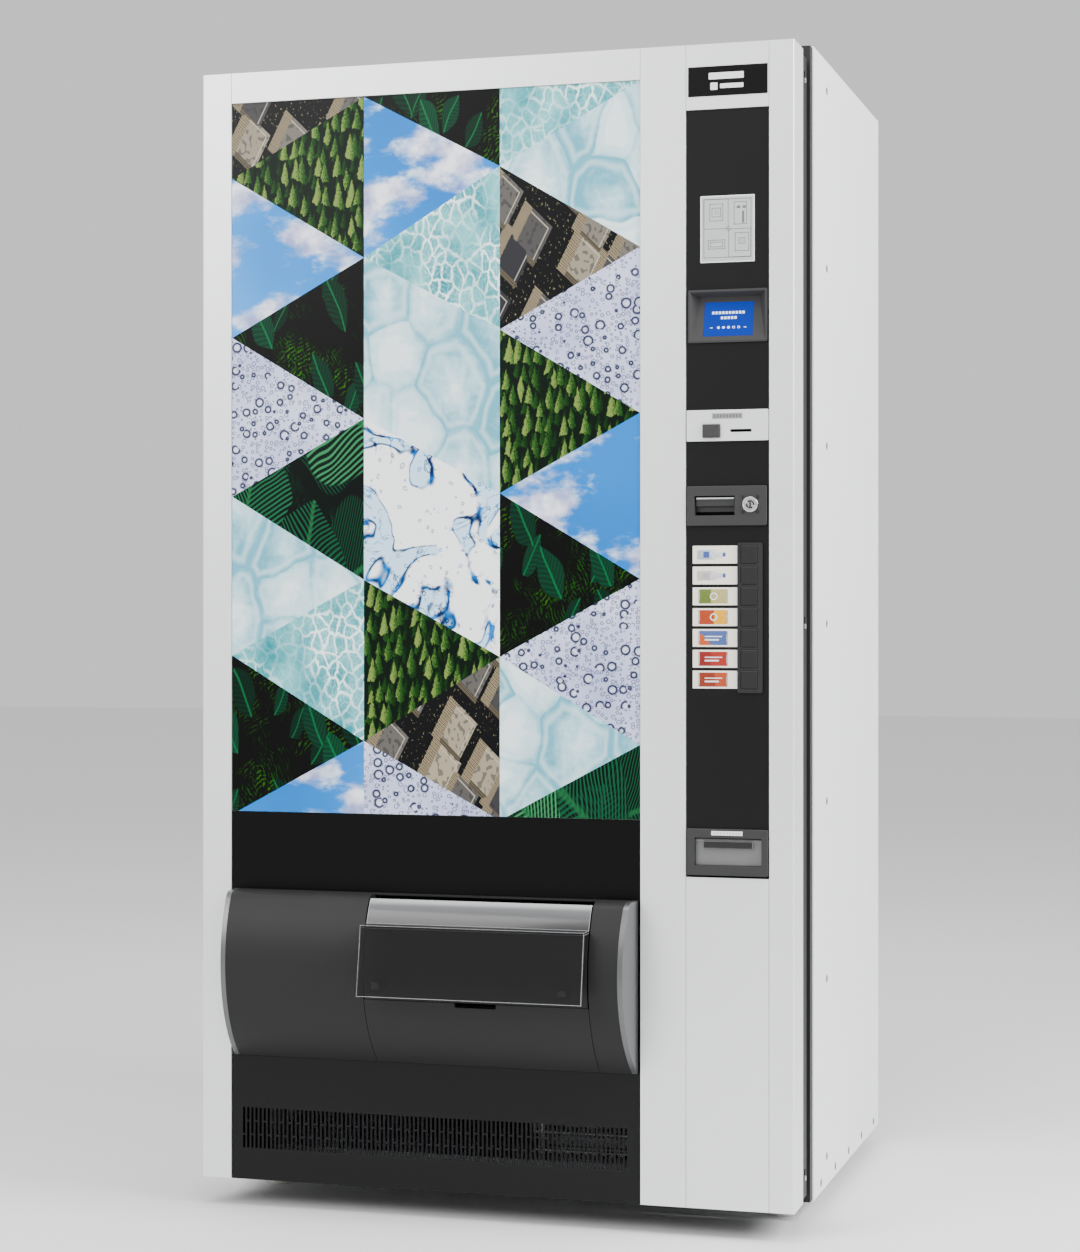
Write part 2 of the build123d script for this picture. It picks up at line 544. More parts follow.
def delivery_bin():
    """Tray behind the flap: sloping floor, back wall, roof and two side walls."""
    sheet = 2.0
    foot, lip_y, lip_z = (6.0, HATCH_BOTTOM + 8.7), -HATCH_PROUD + BIN_LIP_IN, FLAP_BOTTOM - 8.0
    roof_y, roof_z = FLAP_PIVOT_Y + 12.3, FLAP_PIVOT_Z + 7.0
    outline = [foot, (lip_y, lip_z), (lip_y, lip_z + 97), (roof_y, roof_z), (PAN_BACK, roof_z),
               (PAN_BACK, foot[1])]
    x0, x1 = FLAP_MIDDLE - BIN_HALF, FLAP_MIDDLE + BIN_HALF
    whole = prism_x(outline, x0, x1)
    hollow = [(foot[0] + 1.2, foot[1] + sheet), (lip_y + sheet, lip_z + 1.2), (lip_y - 10, lip_z + 1.2),
              (lip_y - 10, roof_z - sheet), (PAN_BACK - sheet, roof_z - sheet), (PAN_BACK - sheet,
                                                                                 foot[1] + sheet)]
    tray = whole - prism_x(hollow, x0 + sheet, x1 - sheet)
    return tray - block(x0 + sheet, x1 - sheet, PAN_BACK - sheet - 1, PAN_BACK + 1, PASSAGE_BOTTOM,
                        roof_z - sheet)


# ---- payment column ---------------------------------------------------------


def module_hole(xs, top, bottom, margin):
    """The opening in the fascia behind a module's bezel."""
    return block(pay_x(xs[0]) + margin, pay_x(xs[1]) - margin, FASCIA_SETBACK - 1, FASCIA_BACK + 1,
                 down(bottom) + margin, down(top) - margin)


def payment_fascia():
    """Dark plate of the payment column, cut out behind each module, and the band above the hatch."""
    plate = block(PAY_LEFT + EDGE, PAY_RIGHT - EDGE, FASCIA_SETBACK, FASCIA_BACK,
                  down(FASCIA_BOTTOM), down(BADGE_PLATE_BOTTOM) - EDGE)
    holes = [module_hole(DISPLAY_X, DISPLAY_TOP, DISPLAY_BOTTOM, 4),
             module_hole(COIN_PLATE_X, COIN_PLATE_TOP, COIN_PLATE_BOTTOM, 4),
             module_hole(RECESS_X, RECESS_TOP, RECESS_BOTTOM, -2),
             module_hole(SELECTION_X, SELECTION_TOP, SELECTION_BOTTOM, 4),
             rod_y(0, FASCIA_BACK + 1, pay_x(PLUG_X), down(LOCK_DOWN), PLUG_RADIUS + 2)]
    band = block(BAY_LEFT + EDGE, BAY_RIGHT - EDGE, PANEL_SETBACK, HATCH_BACK, HATCH_TOP + EDGE,
                 BAND_TOP - EDGE)
    return [plate - holes, band]


def display_bezel():
    """Bezel with a deep recess whose floor leans back towards the top."""
    x0, x1 = pay_x(DISPLAY_X[0]), pay_x(DISPLAY_X[1])
    z0, z1 = down(DISPLAY_BOTTOM), down(DISPLAY_TOP)
    bezel = rounded_plate(x0, x1, -1, FASCIA_SETBACK, z0, z1, 2)
    body = block(x0 + 4.3, x1 - 4.3, FASCIA_SETBACK, DISPLAY_DEPTH, z0 + 4.3, z1 - 4.3)
    slope = prism_x([(-2, z0 + 3), (-1, z0 + 3), (SCREEN_Y[1] - 1, z1 - 12), (SCREEN_Y[1] - 1, z1 - 10),
                     (-2, z1 - 3)],
                    x0, x1)
    sides = prism_z([(x0 + 2.5, -2), (x0 + 15, 16), (x1 - 15, 16), (x1 - 2.5, -2)], z0, z1)
    return (bezel + body) - (slope & sides) - screen_form(1.0, 0.3)


def screen_form(thickness, margin):
    """The leaning display panel, or the pocket that it sits in."""
    z0, z1 = down(DISPLAY_BOTTOM) + 3, down(DISPLAY_TOP) - 12
    lean = atan((SCREEN_Y[1] - SCREEN_Y[0]) / (z1 - z0))
    middle_z = down((DISPLAY_TOP + DISPLAY_BOTTOM) / 2) - 4
    half = SCREEN_SIZE[1] / 2 * cos(lean) + margin
    middle_x = (pay_x(DISPLAY_X[0]) + pay_x(DISPLAY_X[1])) / 2

    def floor_y(z):
        return SCREEN_Y[0] - 3 + (z - z0) * (SCREEN_Y[1] - SCREEN_Y[0] + 2) / (z1 - z0)

    outline = [(floor_y(middle_z - half), middle_z - half), (floor_y(middle_z + half), middle_z + half),
               (floor_y(middle_z + half) + thickness, middle_z + half),
               (floor_y(middle_z - half) + thickness, middle_z - half)]
    return prism_x(outline, middle_x - SCREEN_SIZE[0] / 2 - margin, middle_x + SCREEN_SIZE[0] / 2 + margin)


def display_screen():
    return screen_form(1.0, 0.0)


def coin_plate():
    """Plate with the coin slot and the seat of the return button."""
    x0, x1 = pay_x(COIN_PLATE_X[0]), pay_x(COIN_PLATE_X[1])
    plate = rounded_plate(x0, x1, -1, FASCIA_SETBACK, down(COIN_PLATE_BOTTOM), down(COIN_PLATE_TOP), 1.5)
    tongue = block(x0 + 4.3, x1 - 4.3, FASCIA_SETBACK, FASCIA_BACK, down(COIN_PLATE_BOTTOM) + 4.3,
                   down(COIN_PLATE_TOP) - 4.3)
    slot_half = 2.3
    slot = block(pay_x(COIN_SLOT_X[0]), pay_x(COIN_SLOT_X[1]), -2, FASCIA_BACK + 1,
                 down(COIN_SLOT_DOWN) - slot_half,
                 down(COIN_SLOT_DOWN) + slot_half)
    seat = block(pay_x(COIN_BUTTON_X[0]) - MOVING_GAP, pay_x(COIN_BUTTON_X[1]) + MOVING_GAP, -2,
                 FASCIA_BACK + 1,
                 down(COIN_SLOT_DOWN) - COIN_BUTTON_HALF - MOVING_GAP,
                 down(COIN_SLOT_DOWN) + COIN_BUTTON_HALF + MOVING_GAP)
    return plate + tongue - slot - seat


def coin_return_button():
    """Rectangular push button with softened edges, proud of the coin plate."""
    body = block(pay_x(COIN_BUTTON_X[0]), pay_x(COIN_BUTTON_X[1]), -6, 8,
                 down(COIN_SLOT_DOWN) - COIN_BUTTON_HALF,
                 down(COIN_SLOT_DOWN) + COIN_BUTTON_HALF)
    return fillet(body.faces().sort_by(Axis.Y)[0].edges(), 1.2)


def lock_bezel():
    """Cast bezel of the lock: a pull recess beside the bore of the key cylinder."""
    x0, x1 = pay_x(LOCK_X[0]), pay_x(LOCK_X[1])
    plate = rounded_plate(x0, x1, -MODULE_PROUD, FASCIA_SETBACK, down(LOCK_BOTTOM), down(LOCK_TOP), 3)
    plate = fillet(plate.faces().sort_by(Axis.Y)[0].outer_wire().edges(), 1.0)
    rx0, rx1 = pay_x(RECESS_X[0]), pay_x(RECESS_X[1])
    rz0, rz1 = down(RECESS_BOTTOM), down(RECESS_TOP)
    wall, cup_depth = 1.8, 30.0
    cup = block(rx0 - wall, rx1 + wall, FASCIA_SETBACK, cup_depth, rz0 - wall, rz1 + wall)
    collar = rod_y(FASCIA_SETBACK, 20, pay_x(PLUG_X), down(LOCK_DOWN), PLUG_RADIUS + 1.8)
    space = block(rx0, rx1, -MODULE_PROUD - 1, cup_depth - wall, rz0, rz1)
    bore = rod_y(-MODULE_PROUD - 1, 21, pay_x(PLUG_X), down(LOCK_DOWN), PLUG_RADIUS + RUNNING_FIT)
    pins = rod_x(rx0 - wall / 2, rx0 + PADDLE_GAP + 3, PADDLE_Y, rz1 - PADDLE_DOWN, PADDLE_PIN)
    pins += rod_x(rx1 - PADDLE_GAP - 3, rx1 + wall / 2, PADDLE_Y, rz1 - PADDLE_DOWN, PADDLE_PIN)
    return plate + cup + collar - space - bore + pins


def lock_paddle():
    """Pull paddle hung from its pin at the top of the recess."""
    x0, x1 = pay_x(RECESS_X[0]) + PADDLE_GAP, pay_x(RECESS_X[1]) - PADDLE_GAP
    pin_z = down(RECESS_TOP) - PADDLE_DOWN
    barrel = rod_x(x0, x1, PADDLE_Y, pin_z, 4.0)
    blade = block(x0, x1, PADDLE_Y + 0.5, PADDLE_Y + 3.5, pin_z - 18, pin_z)
    grip = block(x0, x1, 1.5, PADDLE_Y + 1, pin_z - 9.5, pin_z + 1.5)
    grip = fillet(grip.faces().sort_by(Axis.Y)[0].edges(), 1.0)
    return barrel + blade + grip - rod_x(x0 - 1, x1 + 1, PADDLE_Y, pin_z, PADDLE_PIN + RUNNING_FIT)


def lock_plug():
    """Key cylinder with a cam tail and a keyhole."""
    x, z = pay_x(PLUG_X), down(LOCK_DOWN)
    plug = rod_y(-MODULE_PROUD - 1.5, 22, x, z, PLUG_RADIUS)
    plug = chamfer(plug.faces().sort_by(Axis.Y)[0].edges(), 0.8)
    keyway = block(x - 1.4, x + 1.4, -MODULE_PROUD - 2, 3, z - 4, z + 4)
    return plug - rod_y(-MODULE_PROUD - 2, -MODULE_PROUD - 0.5, x, z, 6.5) - keyway + rod_y(22, 27, x, z, 4)


def button_bezel():
    """Frame of the selection buttons, with one hole for each."""
    plate = rounded_plate(pay_x(SELECTION_X[0]), pay_x(SELECTION_X[1]), -2, FASCIA_SETBACK,
                          down(SELECTION_BOTTOM), down(SELECTION_TOP), 3)
    frame = block(pay_x(SELECTION_X[0]) + 4.3, pay_x(SELECTION_X[1]) - 4.3, FASCIA_SETBACK, 12,
                  down(SELECTION_BOTTOM) + 4.3, down(SELECTION_TOP) - 4.3)
    holes = []
    half = BUTTON_HEIGHT / 2 + MOVING_GAP
    for index in range(SELECTIONS):
        z = button_height(index)
        holes.append(block(pay_x(BUTTON_X[0]) - MOVING_GAP, pay_x(BUTTON_X[1]) + MOVING_GAP, -3, 13,
                           z - half, z + half))
    return plate + frame - holes


def selection_button(index):
    """One translucent push button with a softened front edge."""
    z = button_height(index)
    body = block(pay_x(BUTTON_X[0]), pay_x(BUTTON_X[1]), -3, 10, z - BUTTON_HEIGHT / 2, z + BUTTON_HEIGHT / 2)
    return fillet(body.faces().sort_by(Axis.Y)[0].edges(), 1.5)


def labels():
    """Printed cards: badge, notice, and one product card beside each button."""
    cards = [block(pay_x(3.5), pay_x(127.0) - 1, -LABEL, 0, down(BADGE_BOTTOM), down(BADGE_TOP)),
             block(pay_x(22.3), pay_x(105.8), FASCIA_SETBACK - LABEL, FASCIA_SETBACK, down(NOTICE_BOTTOM),
                   down(NOTICE_TOP))]
    for index in range(SELECTIONS):
        z = button_height(index)
        cards.append(block(pay_x(CARD_X[0]), pay_x(CARD_X[1]), FASCIA_SETBACK - LABEL, FASCIA_SETBACK,
                           z - BUTTON_HEIGHT / 2, z + BUTTON_HEIGHT / 2))
    return cards


def coin_flap_axis_z():
    return down(COIN_OPENING_TOP) - 4.0


def coin_cup():
    """Bezel and open-topped tray of the coin return, with pivot pins for its flap."""
    x0, x1 = pay_x(COIN_CUP_X[0]), pay_x(COIN_CUP_X[1])
    plate = rounded_plate(x0, x1, -MODULE_PROUD, COIN_FLAP_Y + 1, down(COIN_CUP_BOTTOM),
                          down(COIN_CUP_TOP), 3)
    plate = fillet(plate.faces().sort_by(Axis.Y)[0].outer_wire().edges(), 1.0)
    ox0, ox1 = pay_x(COIN_OPENING_X[0]), pay_x(COIN_OPENING_X[1])
    oz0, oz1 = down(COIN_OPENING_BOTTOM), down(COIN_OPENING_TOP)
    wall = 2.0
    tray = block(ox0 - wall, ox1 + wall, COIN_FLAP_Y, COIN_CUP_BACK, oz0 - wall, oz1 + wall)
    space = block(ox0, ox1, -MODULE_PROUD - 1, COIN_CUP_BACK - wall, oz0, oz1)
    chute_x = pay_x(CHUTE_X)
    mouth = block(chute_x - CHUTE_HALF + wall, chute_x + CHUTE_HALF - wall, COIN_CUP_BACK - 20,
                  COIN_CUP_BACK - wall,
                  oz1 - 1, oz1 + wall + 1)
    pins = []
    for a, b in ((ox0 - wall / 2, ox0 + MOVING_GAP + 3), (ox1 - MOVING_GAP - 3, ox1 + wall / 2)):
        pins.append(rod_x(a, b, COIN_FLAP_Y, coin_flap_axis_z(), COIN_FLAP_PIN))
    return plate + tray - space - mouth + pins


def coin_flap():
    """Flap of the coin return, hung from its top edge, with a moulded finger lip."""
    x0, x1 = pay_x(COIN_OPENING_X[0]) + MOVING_GAP, pay_x(COIN_OPENING_X[1]) - MOVING_GAP
    z0, z1 = down(COIN_OPENING_BOTTOM) + MOVING_GAP, coin_flap_axis_z()
    flap = block(x0, x1, COIN_FLAP_Y - 1.5, COIN_FLAP_Y + 1.5, z0, z1)
    flap += rod_x(x0, x1, COIN_FLAP_Y, z1, 3.0)
    lip = block(pay_x(27.0), pay_x(103.5), -1, COIN_FLAP_Y, z1 - 12, z1 - 1)
    lip = fillet(lip.faces().sort_by(Axis.Y)[0].edges(), 1.5)
    return flap + lip - rod_x(x0 - 1, x1 + 1, COIN_FLAP_Y, z1, COIN_FLAP_PIN + RUNNING_FIT)


def coin_mechanism():
    """Coin changer with its inlet throat, five coin tubes, and the chute to the return cup."""
    x0, x1 = pay_x(4), pay_x(124)
    changer_top, changer_bottom = down(COIN_PLATE_BOTTOM) + 10, down(SELECTION_BOTTOM) + 60
    body = block(x0, x1, 35, 110, changer_bottom, changer_top)
    throat = block(pay_x(COIN_SLOT_X[0]) - 3, pay_x(COIN_SLOT_X[1]) + 3, FASCIA_BACK + 0.2, 40,
                   down(COIN_SLOT_DOWN) - 6, down(COIN_SLOT_DOWN) + 6)
    throat -= block(pay_x(COIN_SLOT_X[0]), pay_x(COIN_SLOT_X[1]), FASCIA_BACK - 1, 33,
                    down(COIN_SLOT_DOWN) - 3,
                    down(COIN_SLOT_DOWN) + 3)
    mechanism = body + throat
    for index in range(5):
        x = x0 + 14 + index * 23
        mechanism += rod_z(changer_bottom - 30, changer_bottom, x, 72, 10.5)
    chute_top = changer_bottom - 1
    chute = block(pay_x(CHUTE_X) - CHUTE_HALF, pay_x(CHUTE_X) + CHUTE_HALF, COIN_CUP_BACK - 22, COIN_CUP_BACK,
                  down(COIN_OPENING_TOP) + 2.0, chute_top + 5)
    chute -= block(pay_x(CHUTE_X) - CHUTE_HALF + 2, pay_x(CHUTE_X) + CHUTE_HALF - 2, COIN_CUP_BACK - 20,
                   COIN_CUP_BACK - 2,
                   down(COIN_OPENING_TOP), chute_top - 10)
    mount = block(PAY_LEFT - 22, x0 + 1, 100, 104, changer_bottom + 20, changer_top - 20)
    mount += block(PAY_LEFT - 22, PAY_LEFT - 18, 100, PAN_BACK, changer_bottom + 20, changer_top - 20)
    return mechanism + chute + mount


def lock_bar():
    """Sliding bar down the door's free edge, with a stud for each keeper."""
    bar_back = PAN_SIDE - SHEET - 7.5
    bar = block(bar_back - 3, bar_back, STUD_Y - 14, STUD_Y + 10, DOOR_BOTTOM + 10, DOOR_TOP - 22)
    for z in STUD_HEIGHTS:
        bar += rod_x(bar_back - 1, PAN_SIDE + 2, STUD_Y, z, STUD_RADIUS)
    return bar


# ---- cabinet ----------------------------------------------------------------


def screw_places():
    """Depth and height of every flush screw of a side panel."""
    first, last = FOOT_HEIGHT + SCREW_FIRST_UP, HEIGHT - SCREW_LAST_DOWN
    step = (last - first) / (SCREW_ROWS - 1)
    places = [(SCREW_DEPTH, first + row * step) for row in range(SCREW_ROWS)]
    reach = DEPTH - FOOT_ROW_LAST_IN - FOOT_ROW_FIRST
    for index in range(FOOT_ROW_SCREWS):
        depth = FOOT_ROW_FIRST + reach * index / (FOOT_ROW_SCREWS - 1)
        places.append((depth, FOOT_HEIGHT + FOOT_ROW_UP))
    return places


def side_panels():
    """Two folded side panels with front and rear flanges and screw holes."""
    panels = []
    for side in (-1, 1):
        outer, inner = side * HALF, side * SHELL_IN
        panel = block(min(outer, inner), max(outer, inner), CABINET_SETBACK, SHELL_BACK, FOOT_HEIGHT, HEIGHT)
        for lip, y in ((20.0, CABINET_SETBACK), (15.0, SHELL_BACK - SHEET)):
            edge = inner - side * lip
            panel += block(min(edge, inner), max(edge, inner), y, y + SHEET, FOOT_HEIGHT, HEIGHT - SHEET)
        holes = []
        for y, z in screw_places():
            holes.append(rod_x(min(outer, inner) - 1, max(outer, inner) + 1, y, z,
                               SCREW_RADIUS + SCREW_CLEARANCE))
        panels.append(panel - holes)
    return panels


def top_panel():
    """Top sheet with a folded front lip."""
    sheet = block(-SHELL_IN, SHELL_IN, CABINET_SETBACK, SHELL_BACK, HEIGHT - SHEET, HEIGHT)
    lip = 20.0
    return sheet + block(-SHELL_IN + lip, SHELL_IN - lip, CABINET_SETBACK, CABINET_SETBACK + SHEET,
                         HEIGHT - lip, HEIGHT - SHEET)


def rear_panel():
    """Rear sheet with vent slots behind the compressor bay and the power inlet's hole."""
    edge = 4.0
    sheet = block(-HALF + edge, HALF - edge, SHELL_BACK, DEPTH, FOOT_HEIGHT + edge, HEIGHT - edge)
    slots = []
    slot_height, pitch_z, rows, across = 6.0, 14.0, 16, 4
    run = (VENT_X[1] - VENT_X[0]) / across
    for row in range(rows):
        z = FOOT_HEIGHT + 70 + row * pitch_z
        for column in range(across):
            x = VENT_X[0] + column * run
            slots.append(block(x, x + run - 12, SHELL_BACK - 1, DEPTH + 1, z, z + slot_height))
    slots.append(block(INLET_X - INLET_WIDTH / 2, INLET_X + INLET_WIDTH / 2, SHELL_BACK - 1, DEPTH + 1,
                       INLET_Z - INLET_HEIGHT / 2, INLET_Z + INLET_HEIGHT / 2))
    return sheet - slots


def base_tray():
    """Base sheet with folded upstands, four posts under the cell, and foot nuts."""
    y0, y1 = CABINET_SETBACK + SHEET, SHELL_BACK - SHEET
    tray = block(-SHELL_IN, SHELL_IN, y0, y1, FOOT_HEIGHT, FLOOR_TOP)
    rim_height, rim = 35.0, 3.0
    for a, b in ((y0, y0 + rim), (y1 - rim, y1)):
        tray += block(-SHELL_IN + 25, SHELL_IN - 25, a, b, FOOT_HEIGHT, FLOOR_TOP + rim_height)
    for side in (-1, 1):
        a, b = sorted((side * SHELL_IN, side * (SHELL_IN - rim)))
        tray += block(a, b, y0 + 25, y1 - 25, FOOT_HEIGHT, FLOOR_TOP + rim_height)
    post = 30.0
    for side in (-1, 1):
        a, b = sorted((side * (CELL_HALF - post), side * CELL_HALF))
        for y in (CELL_FRONT + 43, CELL_BACK - post - 65):
            tray += block(a, b, y, y + post, FLOOR_TOP - 1, CELL_FLOOR)
    holes = []
    for x in (-FOOT_X, FOOT_X):
        for y in FOOT_Y:
            tray += Pos(x, y, FLOOR_TOP) * extrude(RegularPolygon(12, 6), 10)
            holes.append(rod_z(0, FLOOR_TOP + 11, x, y, FOOT_STEM + RUNNING_FIT))
    holes += [rod_x(side * (SHELL_IN - 2) - 3, side * (SHELL_IN - 2) + 3, y, z, SCREW_RADIUS + 1)
              for side in (-1, 1) for y, z in screw_places() if z < FLOOR_TOP + rim_height]
    return tray - holes


def levelling_feet():
    """Four screw feet."""
    feet = []
    for x in (-FOOT_X, FOOT_X):
        for y in FOOT_Y:
            pad = chamfer(rod_z(0, FOOT_PAD, x, y, FOOT_RADIUS).faces().sort_by(Axis.Z)[-1].edges(), 3)
            feet.append(pad + rod_z(FOOT_PAD - 1, FLOOR_TOP + 25, x, y, FOOT_STEM))
    return feet


def hinge_block_spaces(grow=0.0):
    """Corner spaces of the front channel that the hinge brackets fill."""
    x0, x1 = -SHELL_IN + 0.5 - grow, -SHELL_IN + 40 + grow
    return [(x0, x1, CHANNEL_FRONT, CABINET_SETBACK, HEIGHT - 24 - grow, HEIGHT - 2),
            (x0, x1, CHANNEL_FRONT, CABINET_SETBACK, FOOT_HEIGHT + 2, FOOT_HEIGHT + 16 + grow)]


def front_channel():
    """Dark channel around the cabinet's opening, open at the two hinge corners."""
    side, frame = SHELL_IN - 0.5, 22.0
    outer = block(-side, side, CHANNEL_FRONT, CABINET_SETBACK, FOOT_HEIGHT + 2, HEIGHT - 2)
    inner = block(-side + frame, side - frame, 0, 400, FOOT_HEIGHT + 16, HEIGHT - 2 - frame)
    corners = [block(a - 1, b, c - 1, d + 1, e if e > HEIGHT / 2 else 0, HEIGHT if e > HEIGHT / 2 else f)
               for a, b, c, d, e, f in hinge_block_spaces(0.2)]
    return outer - inner - corners


def hinge_brackets():
    """Corner brackets with the door's pins, and plates with the inner door's pins."""
    top, bottom = [block(*space) for space in hinge_block_spaces()]
    pin_x, pin_y, gap = DOOR_PIVOT_X, DOOR_PIVOT_Y, 3.0
    arm_x0, arm_x1 = pin_x - 12, pin_x + 22
    upper_arm = DOOR_TOP + gap
    lower_arm = DOOR_BOTTOM - gap - HINGE_ARM
    top += block(arm_x0, arm_x1, pin_y - 12, CHANNEL_FRONT + 1, upper_arm, upper_arm + HINGE_ARM)
    top += rod_z(DOOR_TOP - 20, upper_arm + 1, pin_x, pin_y, DOOR_PIN)
    bottom += block(arm_x0, arm_x1, pin_y - 12, CHANNEL_FRONT + 1, lower_arm, lower_arm + HINGE_ARM)
    bottom += rod_z(lower_arm + 1, DOOR_BOTTOM + 18, pin_x, pin_y, DOOR_PIN)
    bottom += rod_z(lower_arm + 1, DOOR_BOTTOM - 0.3, pin_x, pin_y, DOOR_PIN + 4)
    plates = []
    plate, tab = 3.0, 12.0
    for z0, pin_from, pin_to in ((INNER_DOOR_TOP + 2, INNER_DOOR_TOP - 15, INNER_DOOR_TOP + 3),
                                 (INNER_DOOR_BOTTOM - 2 - plate, INNER_DOOR_BOTTOM - 3,
                                  INNER_DOOR_BOTTOM + 15)):
        arm = block(INNER_PIVOT_X - tab, INNER_PIVOT_X + tab, CABINET_SETBACK, CELL_FRONT, z0, z0 + plate)
        plates.append(arm + rod_z(pin_from, pin_to, INNER_PIVOT_X, INNER_PIVOT_Y, INNER_PIN))
    return [top, bottom] + plates


def inner_door():
    """Insulated inner door with the product exit and a handle, and its magnetic gasket."""
    slab = block(-INNER_DOOR_HALF, INNER_DOOR_HALF, INNER_DOOR_FRONT, INNER_DOOR_BACK, INNER_DOOR_BOTTOM,
                 INNER_DOOR_TOP)
    slab -= block(-EXIT_HALF, EXIT_HALF, INNER_DOOR_FRONT - 1, INNER_DOOR_BACK + 1, EXIT_BOTTOM, EXIT_TOP)
    slab -= rod_z(INNER_DOOR_BOTTOM - 1, INNER_DOOR_TOP + 1, INNER_PIVOT_X, INNER_PIVOT_Y,
                  INNER_PIN + RUNNING_FIT)
    middle = (INNER_DOOR_BOTTOM + INNER_DOOR_TOP) / 2
    handle_x, reach = INNER_DOOR_HALF - 50, 20.0
    for z in (middle - 60, middle + 50):
        slab += block(handle_x, handle_x + 12, INNER_DOOR_FRONT - reach, INNER_DOOR_FRONT + 1, z, z + 10)
    slab += block(handle_x, handle_x + 12, INNER_DOOR_FRONT - reach - 4, INNER_DOOR_FRONT - reach,
                  middle - 60, middle + 60)
    z0, z1 = CAVITY_BOTTOM - 14, CAVITY_TOP + 14
    z0, z1 = max(z0, INNER_DOOR_BOTTOM + 4), min(z1, INNER_DOOR_TOP - 4)
    rim = GASKET_OUTER - GASKET_INNER
    gasket = block(-GASKET_OUTER, GASKET_OUTER, INNER_DOOR_BACK, CELL_FRONT - 0.4, z0, z1)
    gasket -= block(-GASKET_INNER, GASKET_INNER, INNER_DOOR_BACK - 1, CELL_FRONT + 1, z0 + rim, z1 - rim)
    return [slab, gasket]


def insulated_cell():
    """Foamed box around the cooled space, open to the front."""
    return (block(-CELL_HALF, CELL_HALF, CELL_FRONT, CELL_BACK, CELL_FLOOR, CELL_TOP)
            - block(-CAVITY_HALF, CAVITY_HALF, CELL_FRONT - 1, CAVITY_BACK, CAVITY_BOTTOM, CAVITY_TOP))


# ---- product columns and rotors -------------------------------------------------


def rotor_x(index):
    """Middle of a product column."""
    return (index - (SELECTIONS - 1) / 2) * COLUMN_PITCH


def column_walls():
    """Sheets between the product columns, their cross rails, and both bearing plates."""
    rail_depth, rail_height, plate_down = 6.0, 20.0, 25.0
    solids = []
    for index in range(SELECTIONS + 1):
        x = (index - SELECTIONS / 2) * COLUMN_PITCH
        solids.append(block(x - COLUMN_SHEET / 2, x + COLUMN_SHEET / 2, COLUMN_FRONT, COLUMN_BACK,
                            COLUMN_BOTTOM, COLUMN_TOP))
    for z in (COLUMN_BOTTOM, COLUMN_TOP - rail_height):
        for y in (COLUMN_FRONT - rail_depth, COLUMN_BACK):
            solids.append(block(-CAVITY_HALF, CAVITY_HALF, y, y + rail_depth, z, z + rail_height))
    bores = []
    for index in range(SELECTIONS):
        bores.append(rod_y(CELL_FRONT, CAVITY_BACK, rotor_x(index), ROTOR_Z, ROTOR_SHAFT + RUNNING_FIT))
    for y0, y1 in ((MOTOR_BACK, MOTOR_BACK + 3), (PLATE_FRONT, PLATE_FRONT + 6)):
        solids.append(block(-CAVITY_HALF, CAVITY_HALF, y0, y1, ROTOR_Z - plate_down, COLUMN_BOTTOM) - bores)
    return solids


def vend_motors():
    """One gear motor at the front of each rotor."""
    motors = []
    for index in range(SELECTIONS):
        x = rotor_x(index)
        case = block(x - MOTOR_HALF, x + MOTOR_HALF, MOTOR_FRONT, MOTOR_BACK, ROTOR_Z - 21, ROTOR_Z + 39)
        case = chamfer(case.edges().filter_by(Axis.Y), 4)
        motors.append(case - rod_y(MOTOR_FRONT + 6, MOTOR_BACK + 1, x, ROTOR_Z, ROTOR_SHAFT + RUNNING_FIT))
    return motors


def vend_rotor(index):
    """A half-pipe bucket between two discs, on stub shafts."""
    x = rotor_x(index)
    bucket = rod_y(ROTOR_FRONT, ROTOR_BACK, x, ROTOR_Z, ROTOR_RADIUS) - rod_y(
        ROTOR_FRONT - 1, ROTOR_BACK + 1, x, ROTOR_Z, ROTOR_RADIUS - 2.0)
    bucket -= block(x - ROTOR_RADIUS - 1, x + ROTOR_RADIUS + 1, ROTOR_FRONT - 1, ROTOR_BACK + 1, ROTOR_Z,
                    ROTOR_Z + ROTOR_RADIUS + 1)
    rotor = bucket + rod_y(ROTOR_FRONT - ROTOR_DISC, ROTOR_FRONT, x, ROTOR_Z, ROTOR_RADIUS)
    rotor += rod_y(ROTOR_BACK, ROTOR_BACK + ROTOR_DISC, x, ROTOR_Z, ROTOR_RADIUS)
    rotor += rod_y(MOTOR_FRONT + 8, ROTOR_FRONT, x, ROTOR_Z, ROTOR_SHAFT)
    return rotor + rod_y(ROTOR_BACK, PLATE_FRONT + 10, x, ROTOR_Z, ROTOR_SHAFT)


def delivery_chute():
    """Sloping sheet that rolls the product forward, with guides towards the exit."""
    sheet, reach = 2.0, 4.0
    front, back = (CELL_FRONT + 2, CAVITY_BOTTOM + 18), (CAVITY_BACK - 10, ROTOR_Z - 43)
    floor = prism_x([front, back, (back[0], back[1] + sheet), (front[0], front[1] + sheet)], -CAVITY_HALF,
                    CAVITY_HALF)
    slope = (back[1] - front[1]) / (back[0] - front[0])
    chute = floor
    fence, fence_deep = 24.0, 210.0
    for side in (-1, 1):
        outline = [(side * CAVITY_HALF, front[0] + fence_deep),
                   (side * CAVITY_HALF, front[0] + fence_deep - reach),
                   (side * (EXIT_HALF - 8), front[0] + 1), (side * (EXIT_HALF - 8), front[0] + 1 + reach)]
        wall = prism_z(outline, front[1], front[1] + fence_deep * slope + fence)
        above = prism_x([front, (front[0] + fence_deep + 5, front[1] + slope * (fence_deep + 5)),
                         (front[0] + fence_deep + 5, front[1] + slope * fence_deep + fence),
                         (front[0], front[1] + fence)], -CAVITY_HALF, CAVITY_HALF)
        chute += wall & above
    return chute


